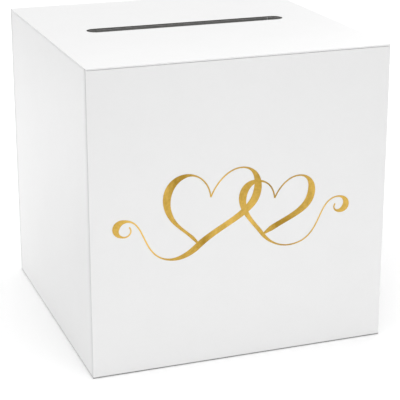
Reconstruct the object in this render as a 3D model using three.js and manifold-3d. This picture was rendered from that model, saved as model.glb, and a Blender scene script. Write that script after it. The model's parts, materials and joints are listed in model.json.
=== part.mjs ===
import * as THREE from 'three';
import { mergeVertices } from 'three/addons/utils/BufferGeometryUtils.js';
import Module from 'manifold-3d';

// Card box of paper-wrapped greyboard with a hinged lid and a card slot.
// Millimetres, +Z up, front at -Y, origin under the middle of the base.

// Overall size
const BOX_WIDTH = 254;
const BOX_DEPTH = 254;
const BOX_HEIGHT = 254;

// Sheet thicknesses
const BOARD = 1.0;
const WRAP = 0.15;
const LINER = 0.12;
const GLUE = 0.03;
const TAB_THICKNESS = 0.4;
const TAPE_THICKNESS = 0.12;
const FOIL_THICKNESS = 0.06;

// Sheet layout
const TURN_IN = 15;
const LINER_MARGIN = 3;
const BASE_LINER_MARGIN = 0.5;
const COVER_MARGIN = 3;

// Card slot in the lid
const SLOT_LENGTH = 177.8;
const SLOT_WIDTH = 16;
const SLOT_OFFSET_Y = 6;

// Fits
const SEAT_GAP = 0.1;
const FRONT_SEAT_GAP = 0.3;
const CORNER_GAP = 0.6;
const BASE_GAP = 0.25;
const FLAP_GAP = 0.06;
const FLAP_SIDE_GAP = 2;
const FLAP_SWING_GAP = 0.3;
const DISC_GAP = 0.1;
const FOIL_GAP = 0.02;

// Tuck flap, closing discs and paper hinges
const FLAP_HEIGHT = 30;
const DISC_RADIUS = 6;
const DISC_OFFSET_X = 70;
const BAND_LEG = 12;
const BAND_END_MARGIN = 1;
const FLAP_TAPE_LEG = 12;
const FLAP_TAPE_END_MARGIN = 4;

// Corner tabs
const TAB_LEG = 25;
const TAB_FOOT = 10;
const TAB_HEAD_ROOM = 5;
const STRIP_MARGIN = 2;
const STRIP_END_MARGIN = 11;

// Pen-stroke ornament on the front, drawn about the middle of the face
const ORNAMENT_WIDTH = 204;
const STROKE_HAIRLINE = 1.2;
const STROKE_NIB = 7.0;
const STROKE_SLANT = 0.35;
const STROKE_CONTRAST = 1.6;
const STROKE_STEP = 1.6;
const STROKE_TAPER = 9;
const STROKE_SMOOTHING = 3;

// Derived sizes
const EDGE = WRAP + GLUE + BOARD + GLUE + WRAP;
const PANEL = EDGE + GLUE + LINER;
const BASE_BOTTOM = WRAP + GLUE + WRAP + GLUE;
const TURN_UNDER_BOTTOM = WRAP + GLUE;
const WALL_TOP = BOX_HEIGHT - EDGE - SEAT_GAP;
const FRONT_TOP = BOX_HEIGHT - EDGE - FRONT_SEAT_GAP;
const SIDE_HALF = BOX_DEPTH / 2 - PANEL - CORNER_GAP;
const PIVOT_Z = BOX_HEIGHT - EDGE - SEAT_GAP / 2;
const FLAP_TOP = BOX_HEIGHT - PANEL - FLAP_GAP;
const FLAP_REACH = PIVOT_Z - FLAP_TOP + FLAP_HEIGHT;
const FLAP_SET_BACK = FLAP_REACH ** 2 / (2 * (BOX_DEPTH - 2 * PANEL)) + FLAP_SWING_GAP;
const FLAP_OUTER_Y = -BOX_DEPTH / 2 + PANEL + FLAP_SET_BACK;
const FLAP_INNER_Y = FLAP_OUTER_Y + PANEL;
const FLAP_HALF = BOX_WIDTH / 2 - PANEL - FLAP_SIDE_GAP;
const DISC_Z = FLAP_TOP - FLAP_HEIGHT / 2;
const BASE_TOP = BASE_BOTTOM + BOARD + GLUE + LINER;

// Materials
const paperMaterial = new THREE.MeshStandardMaterial({ color: 0xf2f2f1, roughness: 0.62, metalness: 0 });
const boardMaterial = new THREE.MeshStandardMaterial({ color: 0x8d8a85, roughness: 0.9, metalness: 0 });
const linerMaterial = new THREE.MeshStandardMaterial({ color: 0xf7f7f5, roughness: 0.8, metalness: 0 });
const tabMaterial = new THREE.MeshStandardMaterial({ color: 0xeeeeea, roughness: 0.75, metalness: 0 });
const tapeMaterial = new THREE.MeshStandardMaterial({ color: 0xe6e2d4, roughness: 0.35, metalness: 0 });
const hingeMaterial = new THREE.MeshStandardMaterial({ color: 0xf2f2f1, roughness: 0.6, metalness: 0 });
const foilMaterial = new THREE.MeshStandardMaterial({ color: 0xc99b3c, roughness: 0.3, metalness: 1 });
const steelMaterial = new THREE.MeshStandardMaterial({ color: 0x9fa2a6, roughness: 0.4, metalness: 1 });
const magnetMaterial = new THREE.MeshStandardMaterial({ color: 0xc4c6c9, roughness: 0.2, metalness: 1 });

const wasm = await Module();
wasm.setup();

// A closed geometry as a solid for booleans.
function solidOf(geometry) {
  const bare = geometry.clone();
  bare.deleteAttribute('normal');
  bare.deleteAttribute('uv');
  const merged = mergeVertices(bare, 1e-5);
  return new wasm.Manifold(new wasm.Mesh({
    numProp: 3,
    vertProperties: new Float32Array(merged.attributes.position.array),
    triVerts: new Uint32Array(merged.index.array),
  }));
}

// A boolean result as a geometry.
function geometryOf(solid) {
  const mesh = solid.getMesh();
  const geometry = new THREE.BufferGeometry();
  geometry.setAttribute('position', new THREE.BufferAttribute(mesh.vertProperties, 3));
  geometry.setIndex(new THREE.BufferAttribute(mesh.triVerts, 1));
  geometry.computeVertexNormals();
  return geometry;
}

// An upright block given by its low and high corner.
function block(low, high) {
  const geometry = new THREE.BoxGeometry(high[0] - low[0], high[1] - low[1], high[2] - low[2]);
  geometry.translate((low[0] + high[0]) / 2, (low[1] + high[1]) / 2, (low[2] + high[2]) / 2);
  return solidOf(geometry);
}

// A disc lying in a sheet, with its axis along Z.
function disc(radius, x, y, low, high) {
  const geometry = new THREE.CylinderGeometry(radius, radius, high - low, 48);
  geometry.rotateX(Math.PI / 2);
  geometry.translate(x, y, (low + high) / 2);
  return solidOf(geometry);
}

// A long hole with full-round ends, along X.
function slotTool(length, width, y, low, high) {
  const reach = (length - width) / 2;
  const outline = new THREE.Shape();
  outline.absarc(reach, 0, width / 2, -Math.PI / 2, Math.PI / 2, false);
  outline.absarc(-reach, 0, width / 2, Math.PI / 2, 3 * Math.PI / 2, false);
  outline.closePath();
  const geometry = new THREE.ExtrudeGeometry(outline, {
    depth: high - low,
    bevelEnabled: false,
    curveSegments: 20,
  });
  geometry.translate(0, y, low);
  return solidOf(geometry);
}

const group = new THREE.Group();
group.name = 'wedding_card_box';

function place(parent, name, solid, material) {
  const mesh = new THREE.Mesh(geometryOf(solid), material);
  mesh.name = name;
  parent.add(mesh);
}

// Face groups: X to the right, Y up and Z outward as the face is looked at from outside.
function faceGroup(name, x, y, z, rotation) {
  const face = new THREE.Group();
  face.name = name;
  face.position.set(x, y, z);
  face.rotation.set(rotation[0], rotation[1], rotation[2], 'ZYX');
  group.add(face);
  return face;
}

const frontFace = faceGroup('front_face', 0, -BOX_DEPTH / 2, 0, [Math.PI / 2, 0, 0]);
const backFace = faceGroup('back_face', 0, BOX_DEPTH / 2, 0, [Math.PI / 2, 0, Math.PI]);
const leftFace = faceGroup('left_face', -BOX_WIDTH / 2, 0, 0, [Math.PI / 2, 0, -Math.PI / 2]);
const rightFace = faceGroup('right_face', BOX_WIDTH / 2, 0, 0, [Math.PI / 2, 0, Math.PI / 2]);
const lidFace = faceGroup('lid_face', 0, 0, BOX_HEIGHT, [0, 0, 0]);
const flapFace = faceGroup('flap_face', 0, FLAP_OUTER_Y, 0, [Math.PI / 2, 0, 0]);

// The paper round one board: outer sheet, edges and a turned-in border on the inner side.
function wrapAll(halfWidth, low, high) {
  const cavity = block(
    [-halfWidth + WRAP, low + WRAP, -EDGE + WRAP],
    [halfWidth - WRAP, high - WRAP, -WRAP],
  );
  const inset = Math.min(TURN_IN, (high - low) / 2 - LINER_MARGIN);
  const border = block(
    [-halfWidth + TURN_IN, low + inset, -2 * EDGE],
    [halfWidth - TURN_IN, high - inset, -EDGE / 2],
  );
  return block([-halfWidth, low, -EDGE], [halfWidth, high, 0]).subtract(cavity).subtract(border);
}

// The board that fills such a wrap.
function boardIn(halfWidth, low, high) {
  const inset = WRAP + GLUE;
  return block(
    [-halfWidth + inset, low + inset, -EDGE + inset],
    [halfWidth - inset, high - inset, -inset],
  );
}

// A wall: wrapped round its sides and top, with the bottom of the paper turned under the base.
function wall(face, name, halfWidth, top, footHalf, linerHalf) {
  const wrapFloor = BASE_BOTTOM - GLUE;
  const wrapped = wrapAll(halfWidth, wrapFloor - WRAP, top);
  const openBottom = block(
    [-halfWidth + TURN_IN, wrapFloor - 1, -2 * EDGE],
    [halfWidth - TURN_IN, TURN_IN + 1, -EDGE / 2],
  );
  const innerFoot = block(
    [-halfWidth - 1, -1, -2 * EDGE],
    [halfWidth + 1, BASE_TOP, -EDGE + WRAP + GLUE / 2],
  );
  const footNotch = block([footHalf, -1, -2 * EDGE], [halfWidth + 1, BASE_BOTTOM, 1]);
  const footNotchMirror = block([-halfWidth - 1, -1, -2 * EDGE], [-footHalf, BASE_BOTTOM, 1]);
  const foot = block([-footHalf, TURN_UNDER_BOTTOM, -TURN_IN], [footHalf, wrapFloor, 0]);
  let wrap = wrapped.subtract(openBottom).subtract(innerFoot);
  if (footHalf < halfWidth) {
    wrap = wrap.subtract(footNotch).subtract(footNotchMirror);
  }
  wrap = wrap.add(foot);
  const board = block(
    [-halfWidth + WRAP + GLUE, BASE_BOTTOM, -EDGE + WRAP + GLUE],
    [halfWidth - WRAP - GLUE, top - WRAP - GLUE, -WRAP - GLUE],
  );
  const liner = block([-linerHalf, BASE_TOP + GLUE, -PANEL], [linerHalf, top - LINER_MARGIN, -EDGE - GLUE]);
  place(face, `${name}_liner`, liner, linerMaterial);
  return { wrap, board };
}

const frontHalf = BOX_WIDTH / 2;
const frontLinerHalf = frontHalf - PANEL - LINER_MARGIN;
const sideLinerHalf = SIDE_HALF - LINER_MARGIN;
const sideFootHalf = BOX_DEPTH / 2 - TURN_IN - CORNER_GAP;
const discHoleRadius = DISC_RADIUS + DISC_GAP;

// Front wall, punched for the two steel discs
const front = wall(frontFace, 'front', frontHalf, FRONT_TOP, frontHalf, frontLinerHalf);
for (const side of [-1, 1]) {
  front.board = front.board.subtract(disc(discHoleRadius, side * DISC_OFFSET_X, DISC_Z, -PANEL, 1));
}
place(frontFace, 'front_board', front.board, boardMaterial);
place(frontFace, 'front_wrap', front.wrap, paperMaterial);

// Back wall, with its outer paper cut away for the hinge band
const back = wall(backFace, 'back', frontHalf, WALL_TOP, frontHalf, frontLinerHalf);
const bandHalf = BOX_WIDTH / 2 - BAND_END_MARGIN;
const bandBottom = PIVOT_Z - BAND_LEG;
const bandSeat = block(
  [-bandHalf - GLUE, bandBottom - GLUE, -WRAP - GLUE / 2],
  [bandHalf + GLUE, BOX_HEIGHT, 1],
);
place(backFace, 'back_board', back.board, boardMaterial);
place(backFace, 'back_wrap', back.wrap.subtract(bandSeat), paperMaterial);

// Side walls, standing between the front and the back
for (const [face, name] of [[leftFace, 'left'], [rightFace, 'right']]) {
  const side = wall(face, name, SIDE_HALF, WALL_TOP, sideFootHalf, sideLinerHalf);
  place(face, `${name}_board`, side.board, boardMaterial);
  place(face, `${name}_wrap`, side.wrap, paperMaterial);
}

// Base: board and liner inside the walls, cover sheet underneath
const baseHalfX = BOX_WIDTH / 2 - PANEL - BASE_GAP;
const baseHalfY = BOX_DEPTH / 2 - PANEL - BASE_GAP;
const baseBoard = block(
  [-baseHalfX, -baseHalfY, BASE_BOTTOM],
  [baseHalfX, baseHalfY, BASE_BOTTOM + BOARD],
);
const baseLiner = block(
  [-baseHalfX + BASE_LINER_MARGIN, -baseHalfY + BASE_LINER_MARGIN, BASE_TOP - LINER],
  [baseHalfX - BASE_LINER_MARGIN, baseHalfY - BASE_LINER_MARGIN, BASE_TOP],
);
const coverSheet = block(
  [-BOX_WIDTH / 2 + COVER_MARGIN, -BOX_DEPTH / 2 + COVER_MARGIN, 0],
  [BOX_WIDTH / 2 - COVER_MARGIN, BOX_DEPTH / 2 - COVER_MARGIN, WRAP],
);
place(group, 'base_board', baseBoard, boardMaterial);
place(group, 'base_liner', baseLiner, linerMaterial);
place(group, 'base_cover_sheet', coverSheet, paperMaterial);

// Lid, cut through for the cards
const slot = slotTool(SLOT_LENGTH, SLOT_WIDTH, SLOT_OFFSET_Y, -2 * PANEL, PANEL);
const lidLow = -BOX_DEPTH / 2;
const lidHigh = BOX_DEPTH / 2;
const lidBandSeat = block(
  [-bandHalf - GLUE, lidHigh - WRAP - GLUE / 2, -2 * EDGE],
  [bandHalf + GLUE, lidHigh + 1, -WRAP],
);
const lidLinerInset = PANEL + LINER_MARGIN;
const lidLiner = block(
  [-BOX_WIDTH / 2 + lidLinerInset, lidLow + lidLinerInset, -PANEL],
  [BOX_WIDTH / 2 - lidLinerInset, lidHigh - lidLinerInset, -EDGE - GLUE],
);
const lidWrap = wrapAll(BOX_WIDTH / 2, lidLow, lidHigh).subtract(slot).subtract(lidBandSeat);
place(lidFace, 'lid_board', boardIn(BOX_WIDTH / 2, lidLow, lidHigh).subtract(slot), boardMaterial);
place(lidFace, 'lid_wrap', lidWrap, paperMaterial);
place(lidFace, 'lid_liner', lidLiner.subtract(slot), linerMaterial);

// Tuck flap under the lid, punched for the two magnets
const flapLow = FLAP_TOP - FLAP_HEIGHT;
let flapBoard = boardIn(FLAP_HALF, flapLow, FLAP_TOP);
for (const side of [-1, 1]) {
  flapBoard = flapBoard.subtract(disc(discHoleRadius, side * DISC_OFFSET_X, DISC_Z, -PANEL, 1));
}
const flapLiner = block(
  [-FLAP_HALF + LINER_MARGIN, flapLow + LINER_MARGIN, -PANEL],
  [FLAP_HALF - LINER_MARGIN, FLAP_TOP - LINER_MARGIN, -EDGE - GLUE],
);
place(flapFace, 'flap_board', flapBoard, boardMaterial);
place(flapFace, 'flap_wrap', wrapAll(FLAP_HALF, flapLow, FLAP_TOP), paperMaterial);
place(flapFace, 'flap_liner', flapLiner, linerMaterial);

// Closing discs: steel in the front wall, magnets in the flap
const discLow = -EDGE + WRAP + 2 * GLUE;
const discHigh = -WRAP - 2 * GLUE;
for (const [side, end] of [[-1, 'left'], [1, 'right']]) {
  const keeper = disc(DISC_RADIUS, side * DISC_OFFSET_X, DISC_Z, discLow, discHigh);
  const magnet = disc(DISC_RADIUS, side * DISC_OFFSET_X, DISC_Z, discLow, discHigh);
  place(frontFace, `keeper_disc_${end}`, keeper, steelMaterial);
  place(flapFace, `flap_magnet_${end}`, magnet, magnetMaterial);
}

// Paper hinge between the back wall and the lid
const band = block(
  [-bandHalf, BOX_DEPTH / 2 - WRAP, bandBottom],
  [bandHalf, BOX_DEPTH / 2, BOX_HEIGHT - WRAP - GLUE],
);
place(group, 'lid_hinge_band', band, hingeMaterial);

// Angled tape that hinges the flap to the underside of the lid
const flapTapeHalf = FLAP_HALF - FLAP_TAPE_END_MARGIN;
const flapTapeY = FLAP_INNER_Y + GLUE;
const flapTapeTop = BOX_HEIGHT - PANEL - GLUE;
const flapTapeDown = block(
  [-flapTapeHalf, flapTapeY, flapTapeTop - FLAP_TAPE_LEG],
  [flapTapeHalf, flapTapeY + TAPE_THICKNESS, flapTapeTop],
);
const flapTapeAlong = block(
  [-flapTapeHalf, flapTapeY, flapTapeTop - TAPE_THICKNESS],
  [flapTapeHalf, flapTapeY + FLAP_TAPE_LEG, flapTapeTop],
);
place(group, 'flap_hinge_tape', flapTapeDown.add(flapTapeAlong), hingeMaterial);

// Corner tabs: an angle on each side wall, taped to the front or back wall
const tabTop = flapLow - TAB_HEAD_ROOM;
const tabX = BOX_WIDTH / 2 - PANEL - GLUE;
const tapeY = BOX_DEPTH / 2 - PANEL - GLUE;
const tabY = tapeY - TAPE_THICKNESS - GLUE;
for (const [sideX, sideY, name] of [
  [-1, -1, 'front_left'],
  [1, -1, 'front_right'],
  [-1, 1, 'back_left'],
  [1, 1, 'back_right'],
]) {
  const xs = (inner, outer) => [inner * sideX, outer * sideX].sort((a, b) => a - b);
  const ys = (inner, outer) => [inner * sideY, outer * sideY].sort((a, b) => a - b);
  const sideLegX = xs(tabX - TAB_THICKNESS, tabX);
  const sideLegY = ys(tabY - TAB_LEG, tabY);
  const endLegX = xs(tabX - TAB_LEG, tabX);
  const endLegY = ys(tabY - TAB_THICKNESS, tabY);
  const sideLeg = block([sideLegX[0], sideLegY[0], TAB_FOOT], [sideLegX[1], sideLegY[1], tabTop]);
  const endLeg = block([endLegX[0], endLegY[0], TAB_FOOT], [endLegX[1], endLegY[1], tabTop]);
  place(group, `corner_tab_${name}`, sideLeg.add(endLeg), tabMaterial);
  const stripX = xs(tabX - TAB_LEG + STRIP_MARGIN, frontLinerHalf - STRIP_MARGIN);
  const stripY = ys(tapeY - TAPE_THICKNESS, tapeY);
  const strip = block(
    [stripX[0], stripY[0], TAB_FOOT + STRIP_END_MARGIN],
    [stripX[1], stripY[1], tabTop - STRIP_END_MARGIN],
  );
  place(group, `tape_strip_${name}`, strip, tapeMaterial);
}

// Gold-foil ornament: two linked hearts with a swash at each end.
// Each stroke is a start point followed by pairs of Bezier controls and end points.
const STROKES = [
  [[-27, 15], [-28, 27], [-37, 36], [-47, 35], [-62, 33], [-68, 17], [-61, 3], [-56, -8], [-44, -13],
    [-37, -24]],
  [[-27, 15], [-22, 27], [-12, 37], [-1, 37], [11, 37], [16, 25], [12, 13], [7, -3], [-20, -10],
    [-37, -24], [-46, -32], [-57, -36], [-67, -32], [-85, -25], [-82, 3], [-98, 3], [-108, 3],
    [-109, -9], [-99, -10], [-94, -10], [-92, -5], [-95, -2]],
  [[28, 8], [32, 17], [40, 25], [49, 25], [59, 25], [63, 15], [59, 5], [54, -8], [32, -12], [18, -22]],
  [[28, 8], [27, 18], [21, 24], [13, 24], [3, 24], [-2, 14], [1, 4], [4, -6], [11, -12], [18, -22],
    [25, -31], [36, -36], [48, -33], [70, -28], [66, 1], [83, 3], [92, 4], [95, -6], [88, -9],
    [83, -11], [79, -7], [82, -3]],
];
const STROKES_WIDTH = 204;
const ornamentScale = ORNAMENT_WIDTH / STROKES_WIDTH;

// Points along one stroke at an even step.
function strokePath(stroke) {
  const points = stroke.map(([x, y]) => new THREE.Vector2(x * ornamentScale, y * ornamentScale));
  const path = [points[0]];
  for (let i = 0; i + 3 < points.length; i += 3) {
    const curve = new THREE.CubicBezierCurve(points[i], points[i + 1], points[i + 2], points[i + 3]);
    const count = Math.max(4, Math.round(curve.getLength() / STROKE_STEP));
    path.push(...curve.getSpacedPoints(count).slice(1));
  }
  return path;
}

// Both edges of a stroke of a slanted pen: wide going down, a hairline going up.
function strokeEdges(path) {
  const last = path.length - 1;
  const headings = path.map((point, i) => {
    const before = path[Math.max(i - 1, 0)];
    const after = path[Math.min(i + 1, last)];
    return after.clone().sub(before).normalize();
  });
  const reach = [0];
  for (let i = 1; i <= last; i += 1) {
    reach.push(reach[i - 1] + path[i].distanceTo(path[i - 1]));
  }
  const press = headings.map((heading) => {
    const down = -(heading.y * Math.cos(STROKE_SLANT) + heading.x * Math.sin(STROKE_SLANT));
    return Math.max(down, 0) ** STROKE_CONTRAST;
  });
  const left = [];
  const right = [];
  path.forEach((point, i) => {
    let sum = 0;
    for (let k = -STROKE_SMOOTHING; k <= STROKE_SMOOTHING; k += 1) {
      sum += press[Math.min(Math.max(i + k, 0), last)];
    }
    const mean = sum / (2 * STROKE_SMOOTHING + 1);
    const taper = Math.min(Math.min(reach[i], reach[last] - reach[i]) / STROKE_TAPER, 1);
    const width = STROKE_HAIRLINE + (STROKE_NIB - STROKE_HAIRLINE) * mean * taper;
    const across = new THREE.Vector2(-headings[i].y, headings[i].x).multiplyScalar(width / 2);
    left.push(point.clone().add(across));
    right.push(point.clone().sub(across));
  });
  return { left, right };
}

// One stroke as foil, joined from short lengths so that it can cross itself.
function strokeSolid(stroke) {
  const { left, right } = strokeEdges(strokePath(stroke));
  const lengthSteps = 12;
  let solid = null;
  for (let start = 0; start < left.length - 1; start += lengthSteps) {
    const end = Math.min(start + lengthSteps + 1, left.length);
    const outline = [...left.slice(start, end), ...right.slice(start, end).reverse()];
    const piece = solidOf(new THREE.ExtrudeGeometry(new THREE.Shape(outline), {
      depth: FOIL_THICKNESS,
      bevelEnabled: false,
    }));
    solid = solid ? solid.add(piece) : piece;
  }
  return solid;
}

const ornament = STROKES.map(strokeSolid).reduce((sum, stroke) => sum.add(stroke));
const ornamentMesh = new THREE.Mesh(geometryOf(ornament), foilMaterial);
ornamentMesh.name = 'foil_ornament';
ornamentMesh.position.set(0, BOX_HEIGHT / 2, FOIL_GAP);
frontFace.add(ornamentMesh);

export default group;
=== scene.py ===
import json
import math

import bpy
import numpy as np
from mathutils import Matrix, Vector


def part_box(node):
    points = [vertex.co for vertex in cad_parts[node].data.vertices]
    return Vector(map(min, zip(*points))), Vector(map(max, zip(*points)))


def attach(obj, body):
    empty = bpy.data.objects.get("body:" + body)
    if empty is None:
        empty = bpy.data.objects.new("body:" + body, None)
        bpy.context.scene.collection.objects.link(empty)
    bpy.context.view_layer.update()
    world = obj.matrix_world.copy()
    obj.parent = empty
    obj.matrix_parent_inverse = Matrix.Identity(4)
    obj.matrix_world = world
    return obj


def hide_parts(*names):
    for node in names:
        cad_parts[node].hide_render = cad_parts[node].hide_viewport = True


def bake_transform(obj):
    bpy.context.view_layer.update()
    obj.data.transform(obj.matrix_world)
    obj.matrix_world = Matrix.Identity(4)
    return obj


bl_info = {
    "name": "Wedding card box",
    "version": (1, 0, 0),
    "blender": (4, 5, 0),
    "location": "View3D > Sidebar > Card box",
    "description": "Folds paper, liners, tabs and hinges round the boards of a card box and lights it",
    "category": "Object",
}

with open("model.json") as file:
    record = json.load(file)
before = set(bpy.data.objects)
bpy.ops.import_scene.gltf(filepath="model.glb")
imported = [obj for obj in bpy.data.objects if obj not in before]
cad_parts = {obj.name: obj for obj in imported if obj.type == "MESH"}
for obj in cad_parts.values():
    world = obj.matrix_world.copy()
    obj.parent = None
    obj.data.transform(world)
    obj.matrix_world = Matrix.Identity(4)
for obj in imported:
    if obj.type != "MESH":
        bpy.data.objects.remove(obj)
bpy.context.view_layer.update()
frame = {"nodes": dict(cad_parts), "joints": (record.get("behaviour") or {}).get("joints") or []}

MM = 0.001
MERGE = 1e-6
QUARTER = math.pi / 2

# Which way each face looks: right and up as seen from outside, and outwards
FACE_AXES = {
    "front": ((1, 0, 0), (0, 0, 1), (0, -1, 0)),
    "back": ((-1, 0, 0), (0, 0, 1), (0, 1, 0)),
    "left": ((0, -1, 0), (0, 0, 1), (-1, 0, 0)),
    "right": ((0, 1, 0), (0, 0, 1), (1, 0, 0)),
    "lid": ((1, 0, 0), (0, 1, 0), (0, 0, 1)),
    "flap": ((1, 0, 0), (0, 0, 1), (0, -1, 0)),
}
WALLS = ("front", "back", "left", "right")
FACE_BODY = {**dict.fromkeys(WALLS, "box"), "lid": "lid", "flap": "tuck_flap"}
CORNERS = {"front_left": (-1, -1), "front_right": (1, -1), "back_left": (-1, 1), "back_right": (1, 1)}
ENDS = ("left", "right")

GLUE_FILM = 0.03 * MM
LEAST_BARE = 3 * MM       # half the least bare board between the turned-in papers of a narrow board
LID_SEAM = 0.58 * MM      # how far down the lid's back edge its paper gives way to the hinge band
BAND_SHORT = 0.42 * MM    # how far the hinge band ends below its full height
FOLD_RADIUS = {"corner_tab": 0.9 * MM, "flap_tape": 0.35 * MM}
FLAP_TAPE = 0.1 * MM
SCORE_WIDTH = 0.3 * MM
LINER_BLEND = 0.7 * MM
# Near-black tone mixed into the white paper as painted shade: the shaded seam gaps at the upright corners
# and the contact shadow at the foot.
PAINTED_SHADE_TONE = (0.02, 0.02, 0.02, 1)
FLOOR_HALF = 6
FLOOR_GAP = 0.05 * MM
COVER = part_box("base_cover_sheet")
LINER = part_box("base_liner")
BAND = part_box("lid_hinge_band")
BOX_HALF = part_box("lid_wrap")[1]


# ---- sizes and colours

LENGTH = {"precision": 5, "subtype": "DISTANCE", "unit": "LENGTH"}
COLOUR = {"size": 3, "min": 0, "max": 1, "subtype": "COLOR"}
WATTS = {"min": 0, "subtype": "POWER", "unit": "POWER"}


class CardBoxSizes(bpy.types.PropertyGroup):
    """Sizes of what is folded round the boards."""

    edge_radius: bpy.props.FloatProperty(
        name="Edge radius",
        description="Outer radius of the paper where it goes round a board's edge",
        default=0.32 * MM, min=0.25 * MM, max=0.6 * MM, **LENGTH,
    )
    paper: bpy.props.FloatProperty(
        name="Paper", description="Thickness of the wrapping paper",
        default=COVER[1].z - COVER[0].z, **LENGTH,
    )
    liner: bpy.props.FloatProperty(
        name="Liner", description="Thickness of the lining paper",
        default=LINER[1].z - LINER[0].z, **LENGTH,
    )
    turn_in: bpy.props.FloatProperty(
        name="Turn-in", description="Width of the paper turned in round a board",
        default=15 * MM, **LENGTH,
    )
    foot_gap: bpy.props.FloatProperty(
        name="Foot gap", description="Gap between the turned-under papers of two walls",
        default=0.6 * MM, **LENGTH,
    )
    liner_dip: bpy.props.FloatProperty(
        name="Liner dip",
        description="How far the lining sinks from the turned-in paper to the bare board",
        default=0.15 * MM, **LENGTH,
    )
    tab_card: bpy.props.FloatProperty(
        name="Tab card", description="Thickness of the corner tabs",
        default=0.4 * MM, **LENGTH,
    )
    tab_chamfer: bpy.props.FloatProperty(
        name="Tab chamfer", description="How far the free corners of a tab are cut back",
        default=9 * MM, **LENGTH,
    )
    crease_and_seam_shade: bpy.props.FloatProperty(
        name="Crease", description="Depth of the scored line in the lid's hinge band",
        default=0.05 * MM, **LENGTH,
    )


class CardBoxColours(bpy.types.PropertyGroup):
    """Colours of the papers, boards, foil and metal, in linear light."""

    paper: bpy.props.FloatVectorProperty(
        name="Wrapping paper", description="Colour of the white wrapping paper",
        default=(0.885, 0.885, 0.885), **COLOUR,
    )
    liner: bpy.props.FloatVectorProperty(
        name="Lining paper", description="Colour of the lining inside the box",
        default=(0.86, 0.86, 0.85), **COLOUR,
    )
    board: bpy.props.FloatVectorProperty(
        name="Greyboard", description="Colour of the raw board at a cut edge",
        default=(0.15, 0.146, 0.14), **COLOUR,
    )
    tape: bpy.props.FloatVectorProperty(
        name="Tape", description="Colour of the double-sided tape",
        default=(0.74, 0.68, 0.50), **COLOUR,
    )
    # The foil's two golds are painted reflection: its colour is mixed between this lit gold and the shaded
    # gold below, and the shaded gold also tints the dull flecks.
    foil_painted_highlight: bpy.props.FloatVectorProperty(
        name="Foil, light", description="Gold foil where it catches the light",
        default=(0.82, 0.54, 0.13), **COLOUR,
    )
    foil_painted_shade_and_fleck: bpy.props.FloatVectorProperty(
        name="Foil, deep", description="Gold foil where it turns away from the light",
        default=(0.38, 0.225, 0.03), **COLOUR,
    )
    steel: bpy.props.FloatVectorProperty(
        name="Steel", description="Colour of the keeper discs",
        default=(0.42, 0.43, 0.45), **COLOUR,
    )
    nickel: bpy.props.FloatVectorProperty(
        name="Nickel", description="Colour of the plating on the magnets",
        default=(0.66, 0.65, 0.62), **COLOUR,
    )


class CardBoxStage(bpy.types.PropertyGroup):
    """Camera, light and floor."""

    azimuth: bpy.props.FloatProperty(
        name="Azimuth", description="Camera's turn round the box, from straight in front",
        default=math.radians(-20.005), subtype="ANGLE", unit="ROTATION",
    )
    elevation: bpy.props.FloatProperty(
        name="Elevation", description="Camera's tilt down",
        default=math.radians(17.976), subtype="ANGLE", unit="ROTATION",
    )
    location: bpy.props.FloatVectorProperty(
        name="Location", description="Where the camera stands",
        default=(-0.38633, -1.0889, 0.48946), size=3, subtype="TRANSLATION", unit="LENGTH",
    )
    lens: bpy.props.FloatProperty(
        name="Lens", description="Focal length in millimetres",
        default=123.111, min=20, subtype="DISTANCE_CAMERA", unit="CAMERA",
    )
    shift: bpy.props.FloatProperty(
        name="Shift", description="Vertical shift of the lens, as a share of the width", default=-0.05,
    )
    sky: bpy.props.FloatProperty(
        name="Surrounding light", description="Strength of the even light from all round",
        default=0.56, min=0,
    )
    overhead: bpy.props.FloatProperty(
        name="Overhead light", description="Power of the wide soft light above, in watts",
        default=15.5, **WATTS,
    )
    back_fill: bpy.props.FloatProperty(
        name="Back fill", description="Power of the soft light behind on the right, in watts",
        default=4.8, **WATTS,
    )
    far_fill: bpy.props.FloatProperty(
        name="Far fill", description="Power of the light over the floor behind the box, in watts",
        default=9.0, **WATTS,
    )
    front_fill: bpy.props.FloatProperty(
        name="Front fill", description="Power of the light over the floor in front, in watts",
        default=0.6, **WATTS,
    )
    left_glow: bpy.props.FloatProperty(
        name="Left glow", description="Power of the low light behind on the left, in watts",
        default=0.17, **WATTS,
    )
    inner_glow: bpy.props.FloatProperty(
        name="Inner glow", description="Power of the faint light inside the box, in watts",
        default=0.037, **WATTS,
    )


# ---- mesh making

def local_box(face, node):
    """A CAD node's low and high corner along a face's right, up and outward axes."""
    axes = np.array(FACE_AXES[face], float)
    ends = np.array([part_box(node)[0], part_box(node)[1]]) @ axes.T
    return ends.min(0), ends.max(0)


def into_world(face, points):
    """Points given along a face's right, up and outward axes, as points of the frame:
    each is the sum of the three axes times its coordinates."""
    return points @ np.array(FACE_AXES[face], float)


def ramp(start, end, count):
    """Even steps from start to end, both included."""
    return np.linspace(start, end, count)


def smooth(share):
    """The S-curve 3 s^2 - 2 s^3 of a share kept between 0 and 1."""
    share = np.clip(share, 0, 1)
    return share * share * (3 - 2 * share)


def flat_grid(xs, ys, depth=0.0):
    """Every x with every y, at one height or at a height for each y."""
    grid = np.empty((len(ys), len(xs), 3))
    grid[..., 0] = xs[None, :]
    grid[..., 1] = ys[:, None]
    grid[..., 2] = depth
    return grid


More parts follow.
